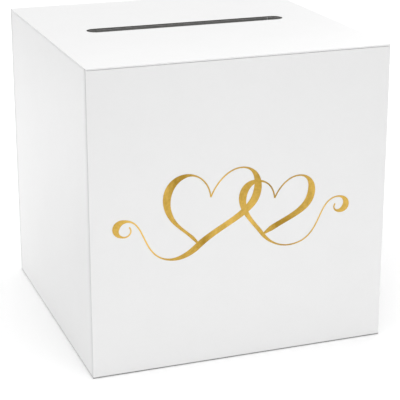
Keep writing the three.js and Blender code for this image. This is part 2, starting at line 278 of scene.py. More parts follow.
def mesh_of(name, patches):
    """One mesh from grids of points. Points closer than a micrometre become one point, a cell that
    shrinks to a triangle keeps three corners, and one that shrinks to a line is left out.
    Each patch is (grid, keep), where keep says which cells there are, or is None for all."""
    points, cells, offset = [], [], 0
    for grid, keep in patches:
        rows, columns = grid.shape[:2]
        index = np.arange(rows * columns).reshape(rows, columns) + offset
        quads = np.stack((index[:-1, :-1], index[:-1, 1:], index[1:, 1:], index[1:, :-1]), -1)
        cells.append(quads.reshape(-1, 4) if keep is None else quads[keep])
        points.append(grid.reshape(-1, 3))
        offset += rows * columns
    points, cells = np.concatenate(points), np.concatenate(cells)
    keys = np.floor(points / MERGE + 0.3717).astype(np.int64)
    _, first, label = np.unique(keys, axis=0, return_index=True, return_inverse=True)
    points, cells = points[first], label.reshape(-1)[cells]
    shared = cells == np.roll(cells, -1, axis=1)
    folded = (cells[:, 0] == cells[:, 2]) | (cells[:, 1] == cells[:, 3])
    quads = cells[(shared.sum(1) == 0) & ~folded]
    pinched = (shared.sum(1) == 1) & ~folded
    triangles = cells[pinched][~shared[pinched]].reshape(-1, 3)
    used, corners = np.unique(np.concatenate((quads.ravel(), triangles.ravel())), return_inverse=True)
    quads = corners[:quads.size].reshape(-1, 4)
    triangles = corners[quads.size:].reshape(-1, 3)
    mesh = bpy.data.meshes.new(name)
    mesh.from_pydata(points[used].tolist(), [], quads.tolist() + triangles.tolist())
    mesh.polygons.foreach_set("use_smooth", np.ones(len(mesh.polygons), bool))
    mesh.update()
    return mesh


def new_piece(name, patches, material):
    """A new object at the origin with that mesh and one material."""
    piece = bpy.data.objects.new(name, mesh_of(name, patches))
    bpy.context.scene.collection.objects.link(piece)
    piece.data.materials.append(material)
    return piece


def thicken(piece, thickness):
    """Gives a sheet its thickness behind the side it faces."""
    wall = piece.modifiers.new("thickness", "SOLIDIFY")
    wall.thickness = thickness
    wall.offset = -1
    wall.use_even_offset = True
    wall.use_rim = True


def cells_clear_of(grid, low, high):
    """Which cells of a grid have their middle outside a box."""
    middle = (grid[:-1, :-1] + grid[1:, 1:] + grid[:-1, 1:] + grid[1:, :-1]) / 4
    return ~np.all((middle > np.array(low)) & (middle < np.array(high)), axis=-1)


# ---- folded paper

def edge_profile(radius, depth, reach, hem_end):
    """How paper goes round a board's edge: (outward, down, hem share), point by point.
    A quarter circle outwards and down, straight down, a quarter circle inwards, and then flat
    along the inner side by a share of the turn-in that rises from 0 to 1."""
    turn = ramp(0, QUARTER, 7)
    straight = np.array([hem_end, reach * 0.5 + hem_end * 0.5, reach])
    hem = np.array([0.04, 0.2, 0.5, 0.8, 0.97, 1.0])
    outward = np.concatenate((
        radius * np.sin(turn), np.full(3, radius), radius * np.cos(turn[1:]), np.zeros(6)))
    down = np.concatenate((
        radius * (1 - np.cos(turn)), straight, reach + radius * np.sin(turn[1:]), np.full(6, depth)))
    share = np.concatenate((np.zeros(16), hem))
    return outward, down, share


def foot_profile(radius, foot):
    """How a wall's paper goes under the base: (outward, down, hem share). A quarter circle out of
    the face's plane, and then straight inwards under the base."""
    turn = ramp(0, QUARTER, 7)
    straight = np.array([0.6 * MM, 0.9 * MM, 2 * MM, 5 * MM, 9 * MM, foot - 0.4 * MM, foot])
    outward = np.concatenate((radius * np.sin(turn), np.full(7, radius)))
    down = np.concatenate((radius * (1 - np.cos(turn)), straight))
    return outward, down, np.zeros(14)


def skirt(base, direction, profile, hem, mitre):
    """Paper carried along one side of a face. Point (u, v) is base u, plus direction u times how far
    out profile v is, less direction u times the hem share v of the turn-in. Near a mitred end the
    turn-in is no longer than the distance to that end, which cuts it at 45 degrees."""
    outward, down, share = profile
    reach = outward[None, :] - np.minimum(hem, mitre)[:, None] * share[None, :]
    grid = np.empty((len(base), len(outward), 3))
    grid[..., :2] = base[:, None, :] + direction[:, None, :] * reach[..., None]
    grid[..., 2] = -down[None, :]
    return grid


def turned_in(low, high, sizes):
    """Width of the turned-in paper along the long sides, which leaves some bare board between."""
    return min(sizes.turn_in, (high - low) / 2 - LEAST_BARE)


def corner_fan(corner, start, end, profile):
    """Paper round one corner of a face: the profile carried about the corner point while its
    direction turns from one side's to the next side's."""
    angles = ramp(start, end, 7)
    direction = np.stack((np.cos(angles), np.sin(angles)), -1)
    base = np.repeat(np.array([corner], float), len(angles), axis=0)
    return skirt(base, direction, profile, 0.0, np.zeros(len(angles)))


def face_lines(low, high, extra=()):
    """Grid lines from low to high: close together at both ends, even between, with extra lines."""
    close, wide = 0.35 * MM, 6 * MM
    lines = np.concatenate(([low, low + close], ramp(low + wide, high - wide, 17), [high - close, high],
                            np.array(extra, float)))
    return np.unique(np.round(lines[(lines >= low) & (lines <= high)], 9))


def wrap_patches(half, low, high, depth, sizes, foot=None, face=None, xs=None, ys=None):
    """The sheet round one board, as patches: its flat face, four sides and four corners.
    With a foot, the lower side goes under the base instead of round the board.
    face stands in for the flat face where that has a hole."""
    radius = sizes.edge_radius
    inner = half - radius
    bottom, top = low + radius, high - radius
    xs = face_lines(-inner, inner) if xs is None else xs
    ys = face_lines(bottom, top) if ys is None else ys
    around = edge_profile(radius, depth, depth - radius, LID_SEAM)
    below = around if foot is None else foot_profile(radius, foot)
    hem, end_hem = turned_in(low, high, sizes) - radius, sizes.turn_in - radius
    to_top = top - ys if foot is not None else np.minimum(top - ys, ys - bottom)
    to_side = inner - np.abs(xs)
    sides = [
        (np.stack((xs, np.full(len(xs), bottom)), -1), (0, -1), below, hem, to_side),
        (np.stack((np.full(len(ys), inner), ys), -1), (1, 0), around, end_hem, to_top),
        (np.stack((xs[::-1], np.full(len(xs), top)), -1), (0, 1), around, hem, to_side[::-1]),
        (np.stack((np.full(len(ys), -inner), ys[::-1]), -1), (-1, 0), around, end_hem, to_top[::-1]),
    ]
    patches = [(flat_grid(xs, ys), None)] if face is None else list(face)
    for base, way, profile, width, mitre in sides:
        direction = np.repeat(np.array([way], float), len(base), axis=0)
        patches.append((skirt(base, direction, profile, width, mitre), None))
    lower = [part[:10] for part in around] if foot is not None else around
    fans = [
        ((-inner, bottom), -2 * QUARTER, -QUARTER, lower),
        ((inner, bottom), -QUARTER, 0, lower),
        ((inner, top), 0, QUARTER, around),
        ((-inner, top), QUARTER, 2 * QUARTER, around),
    ]
    for corner, start, end, profile in fans:
        patches.append((corner_fan(corner, start, end, profile), None))
    return patches


def placed(face, origin, patches, cut=None):
    """Patches of a face moved into the frame, without the cells inside the cut box."""
    made = []
    for grid, keep in patches:
        if cut is not None:
            clear = cells_clear_of(grid, *cut)
            keep = clear if keep is None else keep & clear
        world = into_world(face, grid + np.array([0, 0, origin]))
        made.append((world, keep))
    return made


def slot_ring(length, width, middle, counts):
    """The outline of the card slot, anticlockwise from its lower left: a straight side, a half
    circle, a straight side and a half circle, each with its own number of steps."""
    along, round_end = counts
    reach, radius = (length - width) / 2, width / 2
    turn = ramp(-QUARTER, QUARTER, round_end)
    lower = np.stack((ramp(-reach, reach, along), np.full(along, -radius)), -1)
    right = np.stack((reach + radius * np.cos(turn), radius * np.sin(turn)), -1)
    return [part + np.array([0, middle]) for part in (lower, right, -lower, -right)]


def slotted_face(half, low, high, hole, height, rings):
    """A flat face with the card slot in it: four patches, one to each side. Point (u, v) lies on
    the straight line from slot point u to rim point u, at share v, and its height is a function of
    where it is. hole gives the slot outline for an outward offset, and rings the shares and offsets."""
    xs, ys, offsets, shares = rings
    rims = (
        np.stack((xs, np.full(len(xs), low)), -1),
        np.stack((np.full(len(ys), half), ys), -1),
        np.stack((-xs, np.full(len(xs), high)), -1),
        np.stack((np.full(len(ys), -half), ys[::-1]), -1),
    )
    last = hole(offsets[-1])
    patches = []
    for number, rim in enumerate(rims):
        near = [hole(offset)[number] for offset in offsets]
        far = [last[number] * (1 - share) + rim * share for share in shares]
        flat = np.stack(near + far)
        grid = np.concatenate((flat, height(flat)[..., None]), -1)
        patches.append((grid[::-1], None))
    return patches


def stepped_depth(points, half, low, high, dip, blend, open_bottom):
    """Depth of the lining below its highest level: none over the turned-in paper, and the full dip
    over the bare board, with an S-curve between them as wide as blend. A point's place is its
    distance inside the nearest edge of the turned-in paper."""
    inside = np.minimum(half - np.abs(points[..., 0]), high - points[..., 1])
    if not open_bottom:
        inside = np.minimum(inside, points[..., 1] - low)
    return dip * smooth(inside / blend)


# ---- materials

class Field:
    """A number that varies over a surface. Arithmetic on it adds Math nodes to its material."""

    def __init__(self, finish, socket):
        self.finish = finish
        self.socket = socket

    def math(self, operation, *values):
        """The result of a Math node on this number and up to two more."""
        node = self.finish.add("ShaderNodeMath", {"operation": operation}, dict(enumerate((self,) + values)))
        return Field(self.finish, node.outputs[0])

    def __add__(self, other):
        return self.math("ADD", other)

    __radd__ = __add__

    def __mul__(self, other):
        return self.math("MULTIPLY", other)

    __rmul__ = __mul__

    def __sub__(self, other):
        return self.math("SUBTRACT", other)

    def __rsub__(self, other):
        return (self * -1) + other

    def size(self):
        """This number without its sign."""
        return self.math("ABSOLUTE")

    def remapped(self, low, high, start=0.0, end=1.0, way="LINEAR"):
        """This number moved from the range low to high to the range start to end, and kept in it."""
        node = self.finish.add("ShaderNodeMapRange", {"interpolation_type": way, "clamp": True}, {
            "Value": self, "From Min": low, "From Max": high, "To Min": start, "To Max": end})
        return Field(self.finish, node.outputs["Result"])

    def eased(self, low, high, start, end):
        """The same along an S-curve."""
        return self.remapped(low, high, start, end, "SMOOTHSTEP")


class Finish:
    """A material with one Principled shader, and ways to add what varies over it."""

    def __init__(self, name, constants):
        self.material = bpy.data.materials.new(name)
        self.material.use_nodes = True
        self.tree = self.material.node_tree
        self.tree.nodes.clear()
        self.shader = self.add("ShaderNodeBsdfPrincipled", None, constants)
        self.add("ShaderNodeOutputMaterial", None, {"Surface": self.shader.outputs["BSDF"]})
        self.place = self.add("ShaderNodeTexCoord").outputs["Object"]

    def add(self, kind, settings=None, sockets=None):
        """A node of that kind, with its settings made first and then its sockets filled or linked."""
        node = self.tree.nodes.new(kind)
        for name, value in (settings or {}).items():
            setattr(node, name, value)
        for name, value in (sockets or {}).items():
            self.fill(node.inputs[name], value)
        return node

    def fill(self, socket, value):
        """Links a field or socket to a socket, or sets its constant."""
        if isinstance(value, Field):
            value = value.socket
        if isinstance(value, bpy.types.NodeSocket):
            self.tree.links.new(value, socket)
        else:
            socket.default_value = value

    def mapped(self, scale=(1, 1, 1), turn=(0, 0, 0)):
        """Object coordinates, scaled and turned."""
        return self.add("ShaderNodeMapping", None, {
            "Vector": self.place, "Scale": scale, "Rotation": turn}).outputs["Vector"]

    def axis(self, number):
        """One coordinate of the place on the object, in metres."""
        parts = self.add("ShaderNodeSeparateXYZ", None, {"Vector": self.place})
        return Field(self, parts.outputs[number])

    def noise(self, scale, detail=2.0, roughness=0.5, vector=None, distortion=0.0):
        """Soft cloudy noise with that many blobs to the metre."""
        node = self.add("ShaderNodeTexNoise", {"noise_dimensions": "3D"}, {
            "Vector": self.place if vector is None else vector,
            "Scale": scale, "Detail": detail, "Roughness": roughness, "Distortion": distortion})
        return Field(self, node.outputs["Fac"])

    def mix(self, share, first, second):
        """Two colours mixed by a share."""
        node = self.add("ShaderNodeMix", {"data_type": "RGBA"}, {0: share, 6: first, 7: second})
        return node.outputs[2]

    def bumped(self, height, distance, strength):
        """A normal that follows a height, in metres of distance."""
        return self.add("ShaderNodeBump", None, {
            "Height": height, "Distance": distance, "Strength": strength}).outputs["Normal"]

    def wear(self, **inputs):
        """Feeds the shader's inputs and returns the material."""
        for name, value in inputs.items():
            self.fill(self.shader.inputs[name.replace("_", " ")], value)
        return self.material


def tint(colour, factor):
    """A colour times a factor, with alpha 1."""
    return tuple(min(1.0, channel * factor) for channel in colour) + (1.0,)


def paper_finish(name, colour, roughness, grain, mottle, crease_and_seam_shade=0.0):
    """Uncoated paper: pressed fibres seen as fine grain, short fibres lying in two directions and a
    faint cloudy mottle of the pulp. The grain also makes the gloss uneven. A share of painted shade
    greys the paper along the upright seams of the left and right sides, darker towards the top, where
    the gaps between the walls are shaded, and along the foot as a painted contact shadow."""
    finish = Finish(name, {"Specular IOR Level": 0.42, "Sheen Weight": 0.0})
    pulp = finish.noise(38, detail=3, roughness=0.55)
    clouds = finish.noise(260, detail=2)
    fine = finish.noise(3600, detail=3, roughness=0.65)
    along = finish.noise(2200, detail=2, vector=finish.mapped(scale=(0.22, 1, 1), turn=(0, 0, 0.35)))
    across = finish.noise(2200, detail=2, vector=finish.mapped(scale=(1, 1, 0.22), turn=(0.3, 0, 0)))
    fibres = (along * across).remapped(0.12, 0.42)
    shade = (pulp * 0.5 + clouds * 0.3 + fibres * 0.2).remapped(0.3, 0.7)
    tone = finish.mix(shade, tint(colour, 1 - mottle), tint(colour, 1 + mottle * 0.5))
    # Painted shade: a thin dark line and a wider haze beside the upright seams of the left and right sides,
    # stronger towards the top, and a painted contact shadow along the foot of every side.
    if crease_and_seam_shade:
        height_share = finish.axis(2).remapped(0, BOX_HALF[2], 0.7, 1.25)
        on_side = finish.axis(0).size().eased(BOX_HALF[0] - 0.2 * MM, BOX_HALF[0] - 0.03 * MM, 0.0, 1.0)
        from_edge = BOX_HALF[1] - finish.axis(1).size()
        line = from_edge.eased(1.6 * MM, 2.8 * MM, 1.0, 0.0) * 0.72
        haze = from_edge.eased(1.6 * MM, 9.0 * MM, 1.0, 0.0) * 0.28
        on_face = finish.axis(1).size().eased(BOX_HALF[1] - 0.6 * MM, BOX_HALF[1] - 0.2 * MM, 0.0, 2.9)
        on_end = finish.axis(0).size().eased(BOX_HALF[0] - 0.6 * MM, BOX_HALF[0] - 0.2 * MM, 0.0, 1.9)
        foot = finish.axis(2).eased(0.35 * MM, 1.3 * MM, 1.0, 0.0)
        # The share of painted shade, made uneven by the clouds, mixed into the paper's colour.
        painted_shade = (line + haze) * on_side * height_share + foot * (on_face + on_end)
        share = (painted_shade * (0.75 + 0.5 * clouds) * crease_and_seam_shade).remapped(0, 1)
        tone = finish.mix(share, tone, PAINTED_SHADE_TONE)
    height = fine * 0.55 + fibres * 0.3 + clouds * 0.15
    gloss = (fine * 0.5 + clouds * 0.5).remapped(0.3, 0.7, roughness + 0.05, roughness - 0.05)
    return finish.wear(Base_Color=tone, Roughness=gloss, Normal=finish.bumped(height, grain, 0.6))


def greyboard_finish(colour):
    """Raw greyboard: pressed layers seen as fine streaks along the sheet, with light and dark flecks
    of the recycled pulp and a rough cut surface."""
    finish = Finish("greyboard", {"Specular IOR Level": 0.25})
    layers = finish.noise(900, detail=4, roughness=0.7, vector=finish.mapped(scale=(0.12, 0.12, 6)))
    flecks = finish.noise(1500, detail=3, roughness=0.7).remapped(0.58, 0.72)
    specks = finish.noise(2600, detail=2).remapped(0.62, 0.75)
    base = finish.mix(layers.remapped(0.25, 0.75), tint(colour, 0.72), tint(colour, 1.25))
    lit = finish.mix(flecks * 0.45, base, tint(colour, 2.1))
    tone = finish.mix(specks * 0.5, lit, tint(colour, 0.35))
    height = layers * 0.6 + flecks * 0.4
    return finish.wear(Base_Color=tone, Roughness=layers.remapped(0.2, 0.8, 0.82, 0.98),
                       Normal=finish.bumped(height, 0.00006, 0.8))


def foil_finish(light, deep):
    """Hot-stamped gold foil: metal that takes the faint waves of the paper under it, with fine stamping
    grain and small dull flecks. Its colour runs from shaded to lit gold in slanted bands as painted
    reflection."""
    finish = Finish("gold_foil", {"Specular IOR Level": 0.5})
    slanted = finish.mapped(scale=(1.3, 1, 0.45), turn=(0, 0.35, 0))
    bands = finish.noise(26, detail=3, roughness=0.5, vector=slanted, distortion=0.4)
    crinkle = finish.noise(420, detail=3, roughness=0.6)
    grain = finish.noise(3800, detail=2)
    flecks = finish.noise(1300, detail=2).remapped(0.66, 0.76)
    # Painted reflection: the bands and the crinkle mix the foil's colour from shaded to lit gold.
    share = (bands * 0.78 + crinkle * 0.22).remapped(0.36, 0.64)
    tone = finish.mix(share, (*deep, 1), (*light, 1))
    tone = finish.mix(flecks * 0.35, tone, tint(deep, 1.3))
    height = bands * 0.6 + crinkle * 0.3 + grain * 0.1
    return finish.wear(Base_Color=tone, Metallic=1.0 - flecks * 0.15,
                       Roughness=(crinkle * 0.5 + grain * 0.5).remapped(0.3, 0.7, 0.24, 0.42),
                       Normal=finish.bumped(height, 0.0006, 0.7))


def tape_finish(colour):
    """Double-sided tape: waxy film with the small bubbles and streaks of its glue."""
    finish = Finish("double_sided_tape", {"Specular IOR Level": 0.5})
    streaks = finish.noise(300, detail=3, vector=finish.mapped(scale=(1, 1, 0.08)))
    bubbles = finish.noise(900, detail=2).remapped(0.6, 0.7)
    tone = finish.mix(streaks.remapped(0.3, 0.7), tint(colour, 0.9), tint(colour, 1.1))
    tone = finish.mix(bubbles * 0.3, tone, (0.9, 0.88, 0.8, 1))
    return finish.wear(Base_Color=tone, Roughness=bubbles.remapped(0, 1, 0.28, 0.5),
                       Normal=finish.bumped(streaks * 0.5 + bubbles * 0.5, 0.00003, 0.6))


def metal_finish(name, colour, roughness, streak):
    """Stamped or plated sheet metal: fine rolling streaks and a faint clouded bloom."""
    finish = Finish(name, {"Metallic": 1.0})
    rolled = finish.noise(1800, detail=3, vector=finish.mapped(scale=streak))
    bloom = finish.noise(240, detail=2)
    tone = finish.mix(bloom.remapped(0.3, 0.7), tint(colour, 0.86), tint(colour, 1.1))
    gloss = (rolled * 0.6 + bloom * 0.4).remapped(0.3, 0.7, roughness, roughness + 0.14)
    return finish.wear(Base_Color=tone, Roughness=gloss, Normal=finish.bumped(rolled, 0.00001, 0.5))


def floor_finish():
    """Matt white studio floor with a barely seen cloudy unevenness."""
    finish = Finish("studio_floor", {"Specular IOR Level": 0.1})
    cloud = finish.noise(3, detail=2)
    tone = finish.mix(cloud, (0.975, 0.975, 0.975, 1), (0.985, 0.985, 0.985, 1))
    return finish.wear(Base_Color=tone, Roughness=cloud.remapped(0.3, 0.7, 0.85, 0.95))


def finish_named(name):
    """The material of that name, made on first use from the colours in the panel."""
    ready = bpy.data.materials.get(name)
    if ready is not None and ready.use_nodes and "cardbox" in ready:
        return ready
    colours = bpy.context.scene.cardbox_colours
    makers = {
        # The last number is the strength of the painted shade at the upright seams and along the foot.
        "white_wrap_paper": lambda: paper_finish(name, colours.paper, 0.5, 0.000022, 0.012, crease_and_seam_shade=0.3),
        "hinge_paper": lambda: paper_finish(name, colours.paper, 0.5, 0.000022, 0.012),
        "liner_paper": lambda: paper_finish(name, colours.liner, 0.72, 0.00003, 0.02),
        "tab_card": lambda: paper_finish(name, colours.liner, 0.66, 0.00003, 0.03),
        "greyboard": lambda: greyboard_finish(colours.board),
        "double_sided_tape": lambda: tape_finish(colours.tape),
        # The foil's colour is painted reflection between its lit and its shaded gold.
        "gold_foil": lambda: foil_finish(colours.foil_painted_highlight, colours.foil_painted_shade_and_fleck),
        "steel": lambda: metal_finish(name, colours.steel, 0.34, (0.1, 1, 1)),
        "nickel_plate": lambda: metal_finish(name, colours.nickel, 0.16, (1, 1, 0.3)),
    }
    if ready is not None:
        ready.name = name + "_packed"
    material = makers[name]()
    material["cardbox"] = True
    return material


def paint(node, slot_name):
    """Gives a CAD node its finish and returns its object."""
    piece = frame["nodes"][node]
    piece.data.materials.clear()
    piece.data.materials.append(finish_named(slot_name))
    return piece


def soften(piece, width):
    """Rounds a CAD node's edges a little: its loose triangles are welded and its edges bevelled."""
    weld = piece.modifiers.new("weld", "WELD")
    weld.merge_threshold = 1e-6
    bevel = piece.modifiers.new("soft edge", "BEVEL")
    bevel.width = width
    bevel.segments = 2
    bevel.limit_method = "ANGLE"
    bevel.angle_limit = math.radians(40)


# ---- operators

def wrap_sizes(name):
    """Half width, low and high edge, board depth and outer plane of a wrapped board, from the CAD."""
    low, high = local_box(name, f"{name}_wrap")
    board_low, board_high = local_box(name, f"{name}_board")
    plane = high[2]
    depth = (plane - board_low[2]) + (plane - board_high[2])
    return high[0], low[1], high[1], depth, plane, plane - low[2]


class CARDBOX_OT_fold_wraps(bpy.types.Operator):
    """Fold the white paper round the four walls, the lid and the tuck flap"""

    bl_idname = "cardbox.fold_wraps"
    bl_label = "Fold the wraps"

    def execute(self, context):
        sizes = context.scene.cardbox_sizes
        for name in ("front", "back"):
            self.wall(name, sizes, None)
        for name in ("left", "right"):
            self.wall(name, sizes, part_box("back_wrap")[1].y - sizes.turn_in - sizes.foot_gap)
        self.lid(sizes)
        half, low, high, depth, plane, _ = wrap_sizes("flap")
        self.finish("flap", placed("flap", plane, wrap_patches(half, low, high, depth, sizes)), sizes)
        return {"FINISHED"}

    def wall(self, name, sizes, foot_half):
        """One wall, with the paper of its lower edge turned under the base."""
        half, low, high, depth, plane, foot = wrap_sizes(name)
        inner, radius = half - sizes.edge_radius, sizes.edge_radius
        cut, xs, ys = None, None, None
        if foot_half is not None:
            xs = face_lines(-inner, inner, (-foot_half, foot_half))
        if name == "back":
            band_half, band_low = BAND[1].x + GLUE_FILM, BAND[0].z - GLUE_FILM
            xs = face_lines(-inner, inner, (-band_half, band_half))
            ys = face_lines(low + radius, high - radius, (band_low - 0.3 * MM, band_low))
            seat = sizes.paper + GLUE_FILM
            cut = ((-band_half, band_low, -seat), (band_half, high + radius, seat))
        patches = wrap_patches(half, low, high, depth, sizes, foot, xs=xs, ys=ys)
        if foot_half is not None:
            notch = 2 * GLUE_FILM + 2 * sizes.paper
            patches = self.notched(patches, foot_half, notch)
        self.finish(name, placed(name, plane, patches, cut), sizes)

    def notched(self, patches, foot_half, notch):
        """The same patches without what would lie in the foot of the neighbouring wall."""
        made = []
        for grid, keep in patches:
            corners = np.stack((grid[:-1, :-1], grid[:-1, 1:], grid[1:, 1:], grid[1:, :-1]))
            within = np.abs(corners[..., 0]).min(0) < foot_half - MERGE
            above = corners[..., 1].min(0) > notch - MERGE
            clear = within | above
            made.append((grid, clear if keep is None else keep & clear))
        return made

    def lid(self, sizes):
        """The lid's paper, with the card slot cut through and its back edge open for the band."""
        half, low, high, depth, plane, _ = wrap_sizes("lid")
        radius = sizes.edge_radius
        xs = ramp(-1, 1, 33) * (half - radius)
        ys = low + radius + ramp(0, 1, 33) * (high - low - 2 * radius)
        hole = slot_hole()

        def height(points):
            """The cut edge of the slot is pressed down a little."""
            return -0.05 * MM * (1 - smooth(slot_distance(points) / (0.3 * MM)))

        offsets = np.array([0, 0.06, 0.14, 0.3, 0.7]) * MM
        span = high - low
        shares = np.array([0.04, 0.12, 0.25, 0.4, 0.55, 0.7, 0.85, 0.96, 1 - 0.4 * MM / (span / 2), 1.0])
        face = slotted_face(half - radius, low + radius, high - radius, hole, height,
                            (xs, ys, offsets, shares))
        patches = wrap_patches(half, low, high, depth, sizes, face=face, xs=xs, ys=ys)
        band_half = BAND[1].x + GLUE_FILM
        seat = sizes.paper + GLUE_FILM
        cut = ((-band_half, high - seat, -2 * depth), (band_half, high + seat, -LID_SEAM))
        self.finish("lid", placed("lid", plane, patches, cut), sizes)

    def finish(self, name, patches, sizes):
        """Makes the piece, gives the paper its thickness and sets it on its body."""
        piece = new_piece(f"{name}_wrap_folded", patches, finish_named("white_wrap_paper"))
        thicken(piece, sizes.paper)
        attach(piece, FACE_BODY[name])
        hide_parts(f"{name}_wrap")


def slot_sizes():
    """Length, width and middle of the card slot, from the lid's CAD board."""
    lid = frame["nodes"]["lid_board"].data
    points = np.empty(len(lid.vertices) * 3)
    lid.vertices.foreach_get("co", points)
    points = points.reshape(-1, 3)[:, :2]
    edge = np.abs(points).max(0) - MM
    ring = points[(np.abs(points) < edge).all(1)]
    low, high = ring.min(0), ring.max(0)
    return high[0] - low[0], high[1] - low[1], (low[1] + high[1]) / 2


def slot_hole():
    """A function that gives the slot's outline in four parts for an outward offset."""
    length, width, middle = slot_sizes()
    return lambda offset: slot_ring(length + 2 * offset, width + 2 * offset, middle, (33, 33))


def slot_distance(points):
    """How far points lie outside the slot: the distance to its middle line, less half its width."""
    length, width, middle = slot_sizes()
    reach = (length - width) / 2
    beside = np.maximum(np.abs(points[..., 0]) - reach, 0)
    return np.hypot(beside, points[..., 1] - middle) - width / 2


class CARDBOX_OT_lay_liners(bpy.types.Operator):
    """Lay the lining paper over the boards and the turned-in paper"""

    bl_idname = "cardbox.lay_liners"
    bl_label = "Lay the liners"

    def execute(self, context):
        sizes = context.scene.cardbox_sizes
        for name in WALLS + ("flap", "lid"):
            self.liner(name, sizes)
        return {"FINISHED"}

    def liner(self, name, sizes):
        """One liner. Its free face is toward the inside, so its grid is turned over."""
        low, high = local_box(name, f"{name}_liner")
        half, bottom, top, _, _, _ = wrap_sizes(name)
        hem = turned_in(bottom, top, sizes)
        step_half, step_low, step_top = half - sizes.turn_in, bottom + hem, top - hem
        blend = LINER_BLEND
        open_bottom = name not in ("lid", "flap")

        def height(points):
            """Level of the liner's free face."""
            return low[2] + stepped_depth(points, step_half, step_low, step_top, sizes.liner_dip,
                                          blend, open_bottom)

        if name == "lid":
            patches = self.slotted(high[0], step_half, step_low, step_top, blend, height)
        else:
            rises = (0, 0.25, 0.5, 0.75, 1)
            xs = face_lines(low[0], high[0], [side * (step_half - blend * rise)
                                              for side in (-1, 1) for rise in rises])
            lines = [step_top - blend * rise for rise in rises]
            if not open_bottom:
                lines += [step_low + blend * rise for rise in rises]
            ys = face_lines(low[1], high[1], lines)
            grid = flat_grid(xs, ys)
            grid[..., 2] = height(grid)
            patches = [(grid, None)]
        turned = [(grid[::-1], None) for grid, _ in patches]
        piece = new_piece(f"{name}_liner_laid", placed(name, 0, turned), finish_named("liner_paper"))
        thicken(piece, sizes.liner)
        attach(piece, FACE_BODY[name])
        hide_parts(f"{name}_liner")

    def slotted(self, half_width, step_half, step_low, step_high, blend, height):
        """The lid's liner, ruled from the slot to the step, across the step and on to its edge."""
        hole = slot_hole()
        shares = np.array([0.05, 0.2, 0.4, 0.6, 0.8, 0.95, 1.0])
        inner = slotted_face(step_half - blend, step_low + blend, step_high - blend, hole, height,
                             (ramp(-1, 1, 33) * (step_half - blend),
                              ramp(step_low + blend, step_high - blend, 33),
                              np.array([0, 0.3, 0.8]) * MM, shares))
        rings = np.concatenate((ramp(0, blend, 5) - blend, ramp(0, half_width - step_half, 4)[1:]))
        outer = []
        for side in range(4):
            rows = []
            for ring in rings:
                half, bottom, top = step_half + ring, step_low - ring, step_high + ring
                xs, ys = ramp(-half, half, 33), ramp(bottom, top, 33)
                rows.append((
                    np.stack((xs, np.full(33, bottom)), -1), np.stack((np.full(33, half), ys), -1),
                    np.stack((-xs, np.full(33, top)), -1), np.stack((np.full(33, -half), ys[::-1]), -1),
                )[side])
            flat = np.stack(rows)
            grid = np.concatenate((flat, height(flat)[..., None]), -1)
            outer.append((grid[::-1], None))
        return inner + outer


class CARDBOX_OT_fold_tabs(bpy.types.Operator):
    """Fold the four corner tabs that lock the walls"""

    bl_idname = "cardbox.fold_tabs"
    bl_label = "Fold the corner tabs"

    def execute(self, context):
        sizes = context.scene.cardbox_sizes
        for name, (side_x, side_y) in CORNERS.items():
            low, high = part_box(f"corner_tab_{name}")
            piece = new_piece(f"corner_tab_{name}_folded", self.patches(low, high, side_x, side_y, sizes),
                              finish_named("tab_card"))
            thicken(piece, sizes.tab_card)
            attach(piece, "box")
            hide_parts(f"corner_tab_{name}")
        return {"FINISHED"}

    def patches(self, low, high, side_x, side_y, sizes):
        """A folded card. The plan is an L with a round fold, its outer side against the walls, and
        its height falls towards both free ends. Point (u, v) is plan point u at height share v."""
        leg, radius = high.x - low.x, FOLD_RADIUS["corner_tab"]
        turn = ramp(0, QUARTER, 9)
        straight = ramp(radius, leg, 12)
        plan = np.concatenate((
            np.stack((np.zeros(12), straight[::-1]), -1),
            np.stack((radius * (1 - np.cos(turn)), radius * (1 - np.sin(turn))), -1)[1:-1],
            np.stack((straight, np.zeros(12)), -1),
        ))
        away = plan.max(1) / leg
        fall = sizes.tab_chamfer * smooth((away - 0.25) / 0.75 * 0.5) * 2
        middle, half = (low.z + high.z) / 2, (high.z - low.z) / 2
        share = ramp(-1, 1, 25)
        corner_x, corner_y = (high.x if side_x > 0 else low.x), (high.y if side_y > 0 else low.y)
        grid = np.empty((len(plan), len(share), 3))
        grid[..., 0] = (corner_x - side_x * plan[:, 0])[:, None]
        grid[..., 1] = (corner_y - side_y * plan[:, 1])[:, None]
        grid[..., 2] = middle + share[None, :] * (half - fall)[:, None]
        return [(grid[::-1] if side_x * side_y > 0 else grid, None)]


